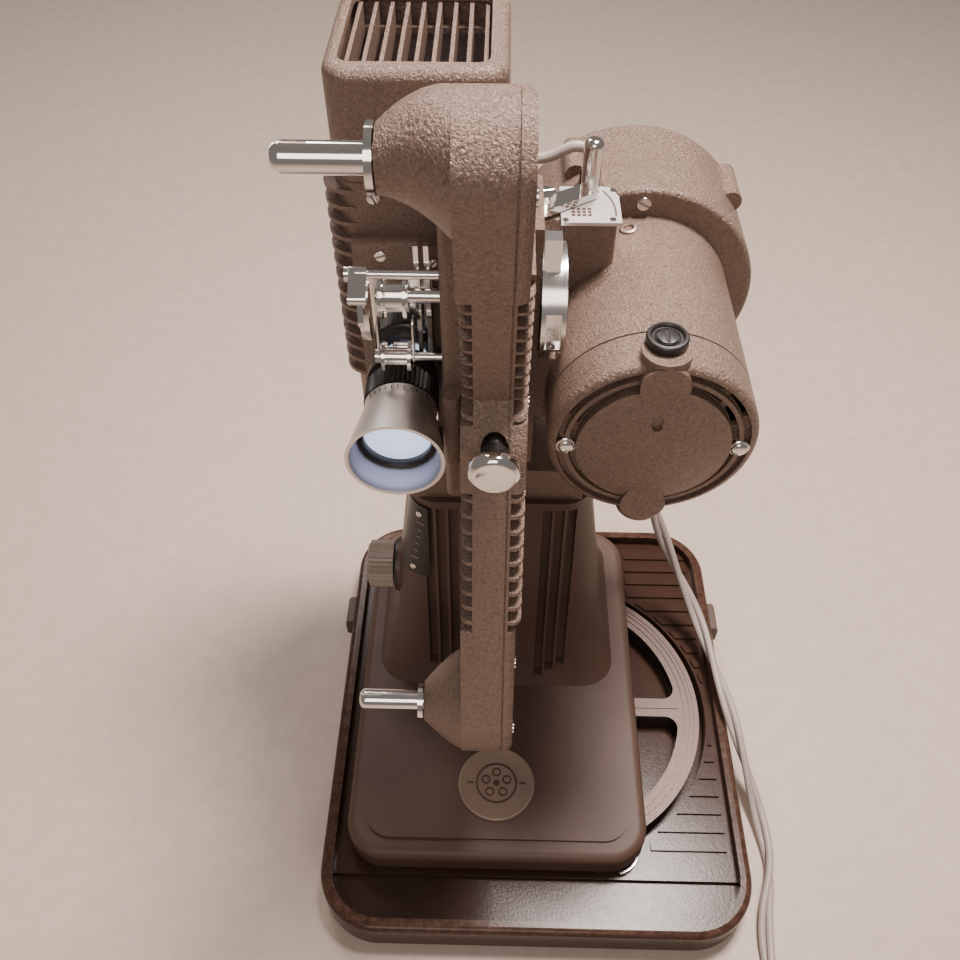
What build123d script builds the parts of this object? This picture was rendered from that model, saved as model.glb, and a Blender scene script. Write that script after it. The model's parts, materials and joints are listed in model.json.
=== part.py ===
from build123d import *
import math
import os

# A small-gauge film projector that stands in the bottom tray of its carrying case.
# Frame: origin on the table under the tray's centre, +X to the motor side, +Y to the back, +Z up.
# The lens points along -Y and the reel spindles point along -X.

os.makedirs("parts", exist_ok=True)

# ---- driving dimensions (mm) ----
TRAY_W, TRAY_L, TRAY_R, TRAY_H = 196, 224, 28, 20     # case tray outline and rim height
RIM = 5.5                                             # rim width
DECK_Z, DECK_T = 14, 3                                # top of the tray's deck, its thickness
REEL_X, REEL_Y, REEL_R = 10, 0, 75                    # spare reel in its well
WELL_R, WELL_Z = 78.5, 4                              # reel well
RIB_PITCH = 8.8                                       # ribs across the deck
TROUGH_Y = -86                                        # back edge of the dip along the tray's front

BASE_X0, BASE_X1, BASE_Y0, BASE_Y1 = -87, 51, -83.5, 103.5
BASE_Z, BASE_H = 17, 13                               # lower edge of the base housing, slab height
NECK_X, NECK_TOP = -19, 148                           # pedestal's middle and its top

ARM_X0, ARM_SEAM, ARM_X1 = -32.6, -17.6, -11.8        # arm casting and its belt cover
HEAD_X1 = -13.6                                       # outer face of both arm heads on the cover's side
UP_Y, UP_Z = -31, 341                                 # upper spindle axis
LOW_Y, LOW_Z = -57.5, 128                             # lower spindle axis
SPINDLE_R, SPINDLE_TIP = 3.95, -75.5                  # spindles' free end and its tip
JOURNAL_R = 3.7                                       # spindles inside their bushes
FLANGE_X = -50.5                                      # inner face of the upper spindle's flange
LOW_SHIFT = 3.2                                       # the lower spindle stands this much further in
BELT_X, BELT_W, BELT_T = -26.8, 2.0, 2.0              # the two arm belts
FIN_T = 1.2                                           # thickness of the arm's cooling fins

MAIN_X, MAIN_Z, MAIN_R = -22, 245, 2.5                # main shaft, parallel to Y
SPROCKET_Y, SPROCKET_Z, SPROCKET_R = 17, 264, 7.6     # sprocket shaft, parallel to X
TAKEUP_Y, TAKEUP_Z = 17, 226                          # take-up shaft, parallel to X
FILM_X, LENS_Z = -56, 218.8                           # film plane's middle and optical axis

HOUSE_X0, HOUSE_X1, HOUSE_Y0, HOUSE_Y1 = -40, -10, 2, 38
HOUSE_Z0, HOUSE_Z1 = 180, 300                         # mechanism housing

LAMP_X0, LAMP_X1, LAMP_Y0, LAMP_Y1 = -76.4, -19, 40, 102
LAMP_Z0, LAMP_SEAM, LAMP_Z1 = 184, 291, 328           # lamphouse floor, lid seam and top
LAMP_R = 9                                            # lamphouse corner radius
FIN_PITCH, FIN_COUNT = 6.1, 14                        # lamphouse cooling fins

MOTOR_X, MOTOR_Z, MOTOR_R = 29, 236, 34               # motor axis, parallel to Y, and can radius
CAP_Y0, CAP_Y1, CAN_Y1 = -22, -6, 56                  # motor front cap and can
BLOWER_R, BLOWER_Y1 = 44, 103                         # blower drum
DRIVE_Y = 29                                          # plane of the motor belt

PIVOT_X, PIVOT_Y, LEVER_Z = -7.3, 35, 287             # motor switch lever
CLUTCH_Y, CLUTCH_Z, CLUTCH_R = 12, 268, 17.5          # clutch lever drum, parallel to X
KNOB_Y, KNOB_Z = 38, 85                               # speed knob, parallel to X
FIT = 0.06                                            # radial clearance of a running fit
GAP = 0.3                                             # space between bodies that move apart

CORD_R = 3.5                                          # half the width of the twisted mains cord


# ---- helpers ----
def slab_x(face, x0, x1):
    """Extrude a flat (y, z) outline from x0 to x1."""
    plane = Plane(origin=(x0, 0, 0), x_dir=(0, 1, 0), z_dir=(1, 0, 0))
    return extrude(plane * face, amount=x1 - x0)


def slab_y(face, y0, y1):
    """Extrude a flat (x, z) outline from y0 to y1."""
    plane = Plane(origin=(0, y1, 0), x_dir=(1, 0, 0), z_dir=(0, -1, 0))
    return extrude(plane * face, amount=y1 - y0)


def slab_z(face, z0, z1):
    """Extrude a flat (x, y) outline from z0 to z1."""
    return extrude(Pos(0, 0, z0) * face, amount=z1 - z0)


def rod_x(radius, x0, x1, y, z):
    return slab_x(Pos(y, z) * Circle(radius), x0, x1)


def rod_y(radius, y0, y1, x, z):
    return slab_y(Pos(x, z) * Circle(radius), y0, y1)


def rod_z(radius, z0, z1, x, y):
    return slab_z(Pos(x, y) * Circle(radius), z0, z1)


def block(x0, x1, y0, y1, z0, z1):
    return Pos((x0 + x1) / 2, (y0 + y1) / 2, (z0 + z1) / 2) * Box(x1 - x0, y1 - y0, z1 - z0)


def rounded(x0, x1, y0, y1, radius):
    """Rounded rectangle between two corners."""
    return Pos((x0 + x1) / 2, (y0 + y1) / 2) * RectangleRounded(x1 - x0, y1 - y0, radius)


def hull(a, ra, b, rb):
    """Flat outline stretched round two circles, as a belt would run."""
    dx, dy = b[0] - a[0], b[1] - a[1]
    angle = math.atan2(dy, dx)
    side = math.acos((ra - rb) / math.hypot(dx, dy))
    points = []
    for centre, radius, turn in ((a, ra, side), (b, rb, side), (b, rb, -side), (a, ra, -side)):
        points.append((centre[0] + radius * math.cos(angle + turn),
                       centre[1] + radius * math.sin(angle + turn)))
    middle = make_face(Polyline(*points, close=True))
    return middle + Pos(*a) * Circle(ra) + Pos(*b) * Circle(rb)


def belt_face(a, ra, b, rb):
    """Flat belt that runs just clear of two pulleys' groove floors."""
    return hull(a, ra + GAP + BELT_T, b, rb + GAP + BELT_T) - hull(a, ra + GAP, b, rb + GAP)


def pulley_x(radius, x, y, z, bore):
    """Grooved pulley with its groove centred on x."""
    wheel = rod_x(radius, x - 1.9, x + 1.9, y, z)
    for x0 in (x - 2.3, x + 1.3):
        wheel += rod_x(radius + 2, x0, x0 + 1.0, y, z)
    return wheel - rod_x(bore, x - 5, x + 5, y, z)


def pulley_y(radius, y, x, z, bore):
    """Grooved pulley with its groove centred on y."""
    wheel = rod_y(radius, y - 1.9, y + 1.9, x, z)
    for y0 in (y - 2.3, y + 1.3):
        wheel += rod_y(radius + 2, y0, y0 + 1.0, x, z)
    return wheel - rod_y(bore, y - 5, y + 5, x, z)


def toothed(radius, depth, teeth):
    """Flat outline of a wheel with pointed teeth."""
    points = []
    for i in range(teeth):
        a = 2 * math.pi * i / teeth
        b = a + math.pi / teeth
        points.append((radius * math.cos(a), radius * math.sin(a)))
        points.append(((radius - depth) * math.cos(b), (radius - depth) * math.sin(b)))
    return make_face(Polyline(*points, close=True))


# ---- case tray with its reel well ----
def case_tray():
    half_w, half_l = TRAY_W / 2, TRAY_L / 2
    tray = slab_z(rounded(-half_w, half_w, -half_l, half_l, TRAY_R), 1.5, TRAY_H)
    tray = fillet(tray.edges().group_by(Axis.Z)[-1], 3)
    pan_w, pan_l = half_w - RIM, half_l - RIM
    tray -= slab_z(rounded(-pan_w, pan_w, -pan_l, pan_l, TRAY_R - RIM), DECK_Z, TRAY_H + 1)
    under_w, under_l = half_w - 3, half_l - 3
    tray -= slab_z(rounded(-under_w, under_w, -under_l, under_l, TRAY_R - 3), 0, DECK_Z - DECK_T)
    tray += rod_z(WELL_R + 2, WELL_Z - 2, DECK_Z, REEL_X, REEL_Y)
    tray -= rod_z(WELL_R, WELL_Z, DECK_Z + 1, REEL_X, REEL_Y)
    tray += rod_z(3.9, WELL_Z, 14.6, REEL_X, REEL_Y)
    under = slab_z(rounded(-under_w, under_w, -under_l, under_l, TRAY_R - 3), 8.5, DECK_Z)
    tray += under & block(-200, 200, -200, TROUGH_Y + 3, 0, DECK_Z - DECK_T)
    pan = slab_z(rounded(-pan_w, pan_w, -pan_l, pan_l, TRAY_R - RIM), DECK_Z - 2.4, DECK_Z + 1)
    tray -= pan & block(-200, 200, -200, TROUGH_Y, 0, 30)
    for i in range(20):
        y = -70.4 + RIB_PITCH * i
        rib = block(54, pan_w - 3, y - 2.3, y + 2.3, DECK_Z, DECK_Z + 1.2)
        rib -= rod_z(WELL_R + 1.5, 0, 20, REEL_X, REEL_Y)
        if rib.volume > 1:
            tray += rib
    return tray


def tray_feet():
    tops = {-92: 8.5, 92: DECK_Z - DECK_T}
    return [rod_z(8, 0, tops[y], x, y) for x in (-78, 78) for y in (-92, 92)]


def case_catches():
    catches = []
    for side in (-1, 1):
        outline = make_face(Polyline((0, 4), (4.2, 6), (4.2, 15), (2.6, 17.5), (0, 17.5), close=True))
        catch = slab_y(outline, 47, 63)
        catch = Pos(TRAY_W / 2, 0, 0) * catch
        catches.append(catch if side > 0 else catch.mirror(Plane.YZ))
    return catches


def storage_reel():
    bottom = WELL_Z + 1
    flange = Circle(REEL_R) - Circle(4.2)
    for i in range(4):
        quarter = Rot(0, 0, 45 + 90 * i) * make_face(Polyline((7.1, 0), (97.1, -90), (97.1, 90), close=True))
        window = (Circle(64.5) - Circle(24)) & quarter
        flange -= fillet(window.vertices(), 6)
    reel = Pos(REEL_X, REEL_Y, 0) * slab_z(flange, bottom, bottom + 1)
    reel += Pos(REEL_X, REEL_Y, 0) * slab_z(flange, bottom + 9.4, bottom + 10.4)
    reel += Pos(REEL_X, REEL_Y, 0) * slab_z(Circle(18) - Circle(4.2), bottom + 1, bottom + 9.4)
    for radius in (67.6, 70.4):
        reel += Pos(REEL_X, REEL_Y, 0) * slab_z(Circle(radius + 0.9) - Circle(radius), bottom + 10, bottom + 10.9)
    for turn in (0, 90):
        bead = Rectangle(130, 1.3) - Circle(20)
        reel += Pos(REEL_X, REEL_Y, 0) * slab_z(Rot(0, 0, turn) * bead, bottom + 10, bottom + 10.9)
    for z in (bottom - 0.4, bottom + 9.2):
        reel += Pos(REEL_X, REEL_Y, 0) * slab_z(Circle(REEL_R) - Circle(REEL_R - 2.5), z, z + 1.6)
    return reel


# ---- base housing with its pedestal ----
def neck_section(z, x_half, y0, y1, radius):
    return Pos(0, 0, z) * rounded(NECK_X - x_half, NECK_X + x_half, y0, y1, radius)


def neck(inset=0.0, front=0.0):
    """Flared pedestal; inset and front shrink it for its hollow."""
    sections = [(BASE_Z + BASE_H, 60, 2, 99, 16), (44, 54, 9, 96, 16), (72, 49.5, 15, 94, 15),
                (110, 45, 20, 92, 14), (NECK_TOP, 40, 25, 90, 13)]
    faces = []
    for z, half, y0, y1, radius in sections:
        faces.append(neck_section(z, half - inset, y0 + front, y1 - inset, radius - inset / 2))
    return loft(faces)


def base_housing():
    slab = slab_z(rounded(BASE_X0, BASE_X1, BASE_Y0, BASE_Y1, 18), BASE_Z, BASE_Z + BASE_H)
    slab = fillet(slab.edges().group_by(Axis.Z)[-1], 4.5)
    step = slab_z(rounded(BASE_X0 + 8.5, BASE_X1 - 8.5, BASE_Y0 + 8.5, BASE_Y1 - 6, 12),
                  BASE_Z + BASE_H - 1, BASE_Z + BASE_H + 1.2)
    outer = neck()
    housing = slab + step + outer
    groove_zone = outer - Pos(0, 5, 0) * outer
    for side in (-1, 1):
        for i in range(3):
            x = NECK_X + side * (20.5 + 5.4 * i)
            slot = block(x - 2.0, x + 2.0, -5, 60, 36 + 3 * i, NECK_TOP - 4)
            housing -= slot & groove_zone
    inner = rounded(BASE_X0 + 3, BASE_X1 - 3, BASE_Y0 + 3, BASE_Y1 - 3, 15)
    housing -= slab_z(inner, BASE_Z, BASE_Z + BASE_H - 3)
    hollow = neck(4, 10) & block(-200, 200, -200, 200, 0, NECK_TOP - 4)
    housing -= Pos(0, 0, -3.2) * hollow
    housing -= block(-70, 30, 20, 85, BASE_Z + BASE_H - 4, BASE_Z + BASE_H + 3)
    housing += rod_x(13.5, -67.4, -56, KNOB_Y, KNOB_Z)
    housing -= rod_x(3.1, -90, -40, KNOB_Y, KNOB_Z)
    return housing


def base_seats():
    """Four low pads that lift the base housing off the tray's deck."""
    places = [(27, 40, BASE_Y0, -80.2), (-74, -60, BASE_Y0, -80.2),
              (27, 40, 100.2, BASE_Y1), (-74, -60, 100.2, BASE_Y1)]
    return [block(x0, x1, y0, y1, DECK_Z, BASE_Z) for x0, x1, y0, y1 in places]


def badge():
    z = BASE_Z + BASE_H + 1.2
    disc = rod_z(17.9, z, z + 1.4, -18.4, -49.3)
    return fillet(disc.edges().group_by(Axis.Z)[-1], 0.6)


def speed_plate():
    """Blank black plate that follows the pedestal's front."""
    skin = Pos(0, -1.0, 0) * neck() - neck()
    return skin & block(-63.5, -50.5, 0, 40, 103, 144)


def knob_escutcheon():
    ring = rod_x(13, -68.8, -67.4, KNOB_Y, KNOB_Z) - rod_x(3.4, -75, -60, KNOB_Y, KNOB_Z)
    ring = fillet(ring.edges().group_by(Axis.X)[0].sort_by(SortBy.LENGTH)[-1], 0.8)
    return ring - neck()


def speed_rheostat():
    y = KNOB_Y
    return rod_x(8, -56, -44, y, KNOB_Z) - rod_x(3.4, -58, -48, y, KNOB_Z)


def speed_knob():
    y = KNOB_Y
    knob = Pos(-75.3, y, KNOB_Z) * (Rot(0, 90, 0) * extrude(toothed(11.4, 0.6, 36), amount=5.8, both=True))
    knob += rod_x(9.6, -82, -80.6, y, KNOB_Z)
    return knob + rod_x(3.1 - FIT, -75, -49, y, KNOB_Z)


# ---- arm that carries both reel spindles ----
TOP, KNEE, ELBOW, FOOT = (-27, 340), (0, 252), (-8, 229), (-57.3, 129.5)
TOP_R, KNEE_R, ELBOW_R, FOOT_R = 15, 23, 30, 19.3
HEAD, HEAD_R, HEAD_END, HEAD_END_R = (-32.1, 340), 17.7, (-20.6, 306), 19.5     # upper head
HEAD_Z, FOOT_Z = 306.5, 179.5                            # lower edge of the upper head, top of the lower one
FIN_DEPTH, COVER_FIN = 3.9, 4.6                          # how far the fins stand out on each side


def arm_outline(inset=0.0):
    """Shank of the arm with its lower head."""
    outline = hull(TOP, TOP_R - inset, KNEE, KNEE_R - inset)
    outline += hull(KNEE, KNEE_R - inset, ELBOW, ELBOW_R - inset)
    outline += hull(ELBOW, ELBOW_R - inset, FOOT, FOOT_R - inset)
    return outline - Pos(HOUSE_Y0 + 50, 240) * Rectangle(100, 400)


def head_outline(inset=0.0):
    """Upper head, which stands a little in front of the shank."""
    outline = hull(HEAD, HEAD_R - inset, HEAD_END, HEAD_END_R - inset)
    outline &= Pos(-30, HEAD_Z + 50) * Rectangle(120, 100)
    return outline - Pos(HOUSE_Y0 + 50, 340) * Rectangle(100, 200)


def fin_heights():
    """Heights of the arm's cooling fins, above and below the knob."""
    upper = [(252.5 + 5.6 * i) for i in range(10)]
    lower = [(183.2 + 5.6 * i) for i in range(9)]
    return upper + lower


def belt_tunnels():
    upper = hull((SPROCKET_Y, SPROCKET_Z), 9.5, (UP_Y, UP_Z), 12.5)
    lower = hull((TAKEUP_Y, TAKEUP_Z), 9.5, (LOW_Y, LOW_Z), 12.5)
    return slab_x(upper + lower, BELT_X - 2.9, ARM_SEAM)


def layered(outline, face_x, depth_x, radius):
    """Slab from face_x to depth_x whose edge rolls back towards face_x in fine steps."""
    way = 1 if depth_x > face_x else -1
    steps = 5
    slab = None
    for k in range(steps):
        a = math.radians(90 * (k + 0.5) / steps)
        start = face_x + way * radius * (1 - math.sin(math.radians(90 * (k + 1) / steps)))
        layer = outline(radius * (1 - math.cos(a)))
        piece = slab_x(layer, min(start, depth_x), max(start, depth_x))
        slab = piece if slab is None else slab + piece
    return slab


def side_bands():
    """Areas of the arm's sides that are cut back between the fins."""
    bands = Pos(-20, 278.6) * Rectangle(90, HEAD_Z - 250.7) + Pos(-45, 205) * Rectangle(90, 51)
    bands &= arm_outline() - arm_outline(7)
    upper = hull((SPROCKET_Y, SPROCKET_Z), 11.5, (UP_Y, UP_Z), 14.5)
    lower = hull((TAKEUP_Y, TAKEUP_Z), 11.5, (LOW_Y, LOW_Z), 14.5)
    return bands - upper - lower


def fins(x0, x1, round_x0):
    """Thin level fins whose front corner is rounded in plan."""
    cutter = None
    for z in fin_heights():
        strip = Pos(-20, z) * Rectangle(120, FIN_T)
        if round_x0:
            fin = layered(lambda inset: arm_outline(inset) & strip, x0, x1, 3.4)
        else:
            fin = layered(lambda inset: arm_outline(inset) & strip, x1, x0, 3.4)
        cutter = fin if cutter is None else cutter + fin
    return cutter


def horn(y, z, end_x, mouth_r, root_r, root_rise, swell, power):
    """Dome that narrows from the arm to a spindle's flange."""
    sections = []
    for k in range(7):
        t = k / 6
        rise = root_rise * (1 - t) ** 2 + swell * t * (1 - t)
        radius = root_r - (root_r - mouth_r) * t ** power
        centre = (ARM_X0 + 0.5 - (ARM_X0 + 0.5 - end_x) * t, y + 0.755 * rise, z + 0.656 * rise)
        sections.append(Plane(origin=centre, x_dir=(0, 1, 0), z_dir=(-1, 0, 0)) * Circle(radius))
    return loft(sections)


def seam_line(x0, x1):
    """Fine groove round the arm where the casting and its cover meet."""
    edge = (arm_outline() - arm_outline(0.5)) + (head_outline() - head_outline(0.5))
    return slab_x(edge - arm_outline(0.5), x0, x1)


def arm_casting():
    arm = slab_x(arm_outline(), ARM_X0, ARM_SEAM) + slab_x(head_outline(), ARM_X0, ARM_SEAM)
    arm -= slab_x(side_bands(), ARM_X0 - 1, ARM_X0 + FIN_DEPTH)
    arm += fins(ARM_X0, ARM_X0 + FIN_DEPTH + 0.6, True)
    arm += horn(UP_Y, UP_Z, FLANGE_X + 0.1, 8.2, 17.5, -1.5, 8.0, 1.1)
    arm += horn(LOW_Y, LOW_Z, FLANGE_X + LOW_SHIFT + 0.1, 7.4, 19.3, 1.3, 2.5, 1.35)
    arm -= seam_line(ARM_SEAM - 0.35, ARM_SEAM)
    arm -= rod_x(6, -60, BELT_X - 2.8, UP_Y, UP_Z)
    arm -= rod_x(6, -60, BELT_X - 2.8, LOW_Y, LOW_Z)
    arm -= belt_tunnels()
    arm -= rod_y(4.0 + GAP, -60, 10, MAIN_X, MAIN_Z)
    return arm


def foot_outline(inset=0.0):
    return arm_outline(inset) & Pos(-50, FOOT_Z - 50) * Rectangle(120, 100)


def shank_outline(inset=0.0):
    return arm_outline(inset) & Pos(-30, (FOOT_Z + HEAD_Z) / 2) * Rectangle(120, HEAD_Z - FOOT_Z)


def arm_cover():
    cover = slab_x(arm_outline(), ARM_SEAM, HEAD_X1 - 3)
    cover += slab_x(head_outline(), ARM_SEAM, HEAD_X1 - 3)
    cover += layered(head_outline, HEAD_X1, HEAD_X1 - 3, 3)
    cover += layered(foot_outline, HEAD_X1, HEAD_X1 - 3, 3)
    cover += layered(shank_outline, ARM_X1, HEAD_X1 - 3, 3)
    cover -= slab_x(side_bands(), ARM_X1 - COVER_FIN, ARM_X1 + 1)
    cover += fins(ARM_X1 - COVER_FIN - 0.6, ARM_X1, False)
    cover -= seam_line(ARM_SEAM, ARM_SEAM + 0.35)
    cover -= rod_y(4.0 + GAP, -60, 10, MAIN_X, MAIN_Z)
    return cover


def cover_screws():
    """Round screw heads on the belt cover and on the motor's front cap."""
    heads = []
    for y, z in ((-40, 337), (-12, 245), (-54, 152), (-66, 124)):
        x = ARM_X1 if z == 245 else HEAD_X1
        heads.append(rod_x(3, x, x + 1.4, y, z))
    for side in (-1, 1):
        heads.append(rod_y(3, CAP_Y0 - 1.6, CAP_Y0 + 2.4, MOTOR_X + side * 28, MOTOR_Z - 1))
    return heads


def bearings():
    """Bronze bushes of both spindles and of the motor shaft."""
    rings = []
    for y, z, x0 in ((UP_Y, UP_Z, -50.2), (LOW_Y, LOW_Z, -50.2 + LOW_SHIFT)):
        rings.append(rod_x(6, x0, BELT_X - 3.4, y, z) - rod_x(JOURNAL_R + FIT, -60, -20, y, z))
    bore = rod_y(3 + FIT, -60, 120, MOTOR_X, MOTOR_Z)
    rings.append(rod_y(5, CAP_Y0 + 2, CAP_Y0 + 6.5, MOTOR_X, MOTOR_Z) - bore)
    rings.append(rod_y(7, CAN_Y1 - 3, CAN_Y1, MOTOR_X, MOTOR_Z) - bore)
    return rings


def spindle(y, z, shift, flange_r):
    """Reel spindle with its flange, key and belt pulley."""
    tip_x, flange_x = SPINDLE_TIP + shift, FLANGE_X + shift
    shaft = rod_x(SPINDLE_R, tip_x, flange_x - 2, y, z)
    shaft = fillet(shaft.edges().group_by(Axis.X)[0], 2.6)
    shaft -= block(tip_x - 1, tip_x + 9, y - 0.5, y + 0.5, z + 2.6, z + 6)
    shaft += rod_x(flange_r, flange_x - 2.2, flange_x - GAP, y, z)
    shaft += rod_x(JOURNAL_R, flange_x - 1, BELT_X + 2.3, y, z)
    return shaft + pulley_x(9.5, BELT_X, y, z, 1)


def upper_spindle():
    return spindle(UP_Y, UP_Z, 0, 8.4)


def lower_spindle():
    return spindle(LOW_Y, LOW_Z, LOW_SHIFT, 7.4)


def drive_belts():
    """Flat belts to the two spindles and from the motor to the main shaft."""
    belts = []
    for near, far in (((SPROCKET_Y, SPROCKET_Z), (UP_Y, UP_Z)), ((TAKEUP_Y, TAKEUP_Z), (LOW_Y, LOW_Z))):
        belts.append(slab_x(belt_face(near, 6, far, 9.5), BELT_X - BELT_W / 2, BELT_X + BELT_W / 2))
    face = belt_face((MAIN_X, MAIN_Z), 9, (MOTOR_X, MOTOR_Z), 6)
    belts.append(slab_y(face, DRIVE_Y - BELT_W / 2, DRIVE_Y + BELT_W / 2))
    return belts


# ---- mechanism housing and film path ----
def mechanism_housing():
    house = block(HOUSE_X0, HOUSE_X1, HOUSE_Y0, HOUSE_Y1, HOUSE_Z0, HOUSE_Z1)
    house = fillet(house.edges().filter_by(Axis.Z).sort_by(Axis.X)[:2].sort_by(Axis.Y)[:1], 3)
    house += block(-58, 16, 28, 88, NECK_TOP, 166)
    house += block(-50, -10, 28, 88, 166, 180)
    house += block(-50, -12, 24, HOUSE_Y1, 172, 184)
    house += slab_z(rounded(-40, -33.6, -5, 6, 3), 206, 238)
    house -= block(HOUSE_X0 + 3, HOUSE_X1, HOUSE_Y0 + 3, HOUSE_Y1 - 3, 205, 297)
    house -= belt_tunnels()
    house -= rod_y(MAIN_R + FIT, -5, 60, MAIN_X, MAIN_Z)
    house -= rod_x(MAIN_R + FIT, -50, -36, SPROCKET_Y, SPROCKET_Z)
    house -= rod_x(MAIN_R + FIT, -37.6, -36, TAKEUP_Y, TAKEUP_Z)
    house -= rod_y(11.4, 19, 40, FILM_X, LENS_Z)
    house -= shutter_pocket()
    return house - rod_z(4.2, 270, 310, PIVOT_X, PIVOT_Y)


def gear_cover():
    cover = block(HOUSE_X1, HOUSE_X1 + 1.5, HOUSE_Y0, HOUSE_Y1, 200, HOUSE_Z1)
    cover -= rod_x(3.1, -20, 0, CLUTCH_Y, CLUTCH_Z)
    drive = hull((MAIN_X, MAIN_Z), 14, (MOTOR_X, MOTOR_Z), 10.5)
    cover -= rod_z(4.2, 270, 310, PIVOT_X, PIVOT_Y)
    return cover - slab_y(drive, DRIVE_Y - 3, DRIVE_Y + 3)


def shutter_pocket():
    return rod_y(22.5, 35.2, 38, -44, 206)


def film_gate_casting():
    gate = block(-71, HOUSE_X0, 33, 40, 182, 272) - block(-47, -39, 30, 38, 182, 186)
    gate -= block(HOUSE_X0 - 0.01, HOUSE_X0 + 2, 30, 42, 180, 280)
    gate -= block(-50, HOUSE_X0, 32, HOUSE_Y1, 181, 184)
    gate -= shutter_pocket()
    gate -= rod_y(6, 30, 45, FILM_X, LENS_Z)
    gate -= rod_y(1.5 + FIT, 30, 42, -44, 206)
    return gate


def aperture_plate():
    plate = block(-66, -44.5, 31, 33, 192, 262)
    return plate - (Pos(FILM_X, 32, LENS_Z) * Box(4.9, 6, 3.7))


def pressure_plate():
    plate = block(-60, -52, 28.8, 30.6, 207, 230.5) - (Pos(FILM_X, 30, LENS_Z) * Box(5.5, 6, 4.3))
    return fillet(plate.edges().filter_by(Axis.Y), 0.8)


def lens_holder():
    ring = rod_y(13.5, 22.9, 27.8, FILM_X, LENS_Z)
    ring += block(-48, HOUSE_X0, 22.9, 27.8, 212, 225)
    ring += block(-44, HOUSE_X0, 22.9, 33, 209, 228)
    return ring - rod_y(11.3, 10, 40, FILM_X, LENS_Z)


def focus_sleeve():
    sleeve = rod_y(11.3 - FIT, 20.6, 25.6, FILM_X, LENS_Z)
    sleeve += rod_y(12.4, 19.8, 20.6, FILM_X, LENS_Z)
    return sleeve - rod_y(10.1, 10, 40, FILM_X, LENS_Z)


def lens_barrel():
    barrel = rod_y(10.1 - FIT, 18, 25.2, FILM_X, LENS_Z)
    grip = Pos(FILM_X, 14.85, LENS_Z) * (Rot(90, 0, 0) * extrude(toothed(13.5, 0.7, 48), amount=4.5, both=True))
    barrel += grip
    barrel += rod_y(12.6, 6, 11, FILM_X, LENS_Z)
    return barrel - rod_y(8.6, -5, 30, FILM_X, LENS_Z)


def lens_hood():
    """Satin cone that widens to the mouth."""
    outer = Cone(13.0, 17.3, 22)
    inner = Cone(11.4, 16.1, 22)
    hood = Rot(90, 0, 0) * (outer - inner)
    hood = Pos(FILM_X, -5, LENS_Z) * hood
    ring = rod_y(13.0, 6, 9.6, FILM_X, LENS_Z) - rod_y(12.6, 0, 20, FILM_X, LENS_Z)
    return hood + ring


def lens_glass():
    front = Pos(FILM_X, 22, LENS_Z) * Sphere(28) & rod_y(11.7, -8, 1, FILM_X, LENS_Z)
    rear = rod_y(8.6, 20, 23.4, FILM_X, LENS_Z)
    return [front, rear]


def sprocket_shaft():
    shaft = rod_x(MAIN_R, -62, -15, SPROCKET_Y, SPROCKET_Z)
    shaft += rod_x(10.6, -24, -20, SPROCKET_Y, SPROCKET_Z)
    shaft += pulley_x(6, BELT_X, SPROCKET_Y, SPROCKET_Z, 1)
    hub = rod_x(5.6, -61, -51, SPROCKET_Y, SPROCKET_Z)
    for x0 in (-60.6, -52.6):
        hub += rod_x(SPROCKET_R, x0, x0 + 1.2, SPROCKET_Y, SPROCKET_Z)
    for i in range(8):
        a = 2 * math.pi * i / 8
        tooth = Pos(0, SPROCKET_Y + 6 * math.cos(a), SPROCKET_Z + 6 * math.sin(a))
        hub += tooth * Pos(-58.6, 0, 0) * Box(0.8, 1.6, 1.6)
    return shaft + hub


def take_up_shaft():
    shaft = rod_x(MAIN_R, -37.4, -15, TAKEUP_Y, TAKEUP_Z)
    shaft += rod_x(10.6, -24, -20, TAKEUP_Y, TAKEUP_Z)
    return shaft + pulley_x(6, BELT_X, TAKEUP_Y, TAKEUP_Z, 1)


def guide_roller():
    roller = rod_x(3.2, -61, -51, 13, 241)
    for x0 in (-61, -52.2):
        roller += rod_x(5.2, x0, x0 + 1.2, 13, 241)
    return roller - rod_x(1.5 + FIT, -70, -40, 13, 241)


def film_guides():
    """Two upright bars beside the film, and the pins of the guide roller and the keeper."""
    bars = []
    for x in (-49.6, -46.2):
        bars.append(block(x, x + 1.6, 24.5, 27, 233, 278) + block(x, x + 1.6, 24.5, 31, 252, 260))
    roller_pin = rod_x(1.5, -62.4, HOUSE_X0, 13, 241) + rod_x(2.6, -63.4, -61.4, 13, 241)
    keeper_pin = rod_x(1.5, -68.4, HOUSE_X0, 5.5, 281) + rod_x(2.4, -69, -67.7, 5.5, 281)
    return bars + [roller_pin, keeper_pin]


def film_keeper():
    """Sprung lever beside the sprocket, with a curved shoe and a rounded finger tip."""
    keeper = rod_x(2.8, -65.4, -61.8, 5.5, 281)
    keeper += slab_x(hull((5.5, 281), 2.8, (0.5, 267), 2.2), -65.4, -63.6)
    keeper += slab_x(hull((5.5, 281), 2.6, (-2.5, 277.5), 1.8), -67.4, -61.8)
    shoe = (Pos(SPROCKET_Y, SPROCKET_Z) * (Circle(15.5) - Circle(12.6))) & Pos(2, 262) * Rectangle(12, 12)
    keeper += slab_x(shoe, -65.4, -62.4)
    return keeper - rod_x(1.5 + FIT, -70, -40, 5.5, 281)


# ---- main shaft, shutter and knob ----
def main_shaft():
    shaft = rod_y(MAIN_R, -44, 37, MAIN_X, MAIN_Z)
    shaft += rod_y(8.0, 8, 24, MAIN_X, MAIN_Z)
    return shaft + pulley_y(9, DRIVE_Y, MAIN_X, MAIN_Z, 1)


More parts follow.
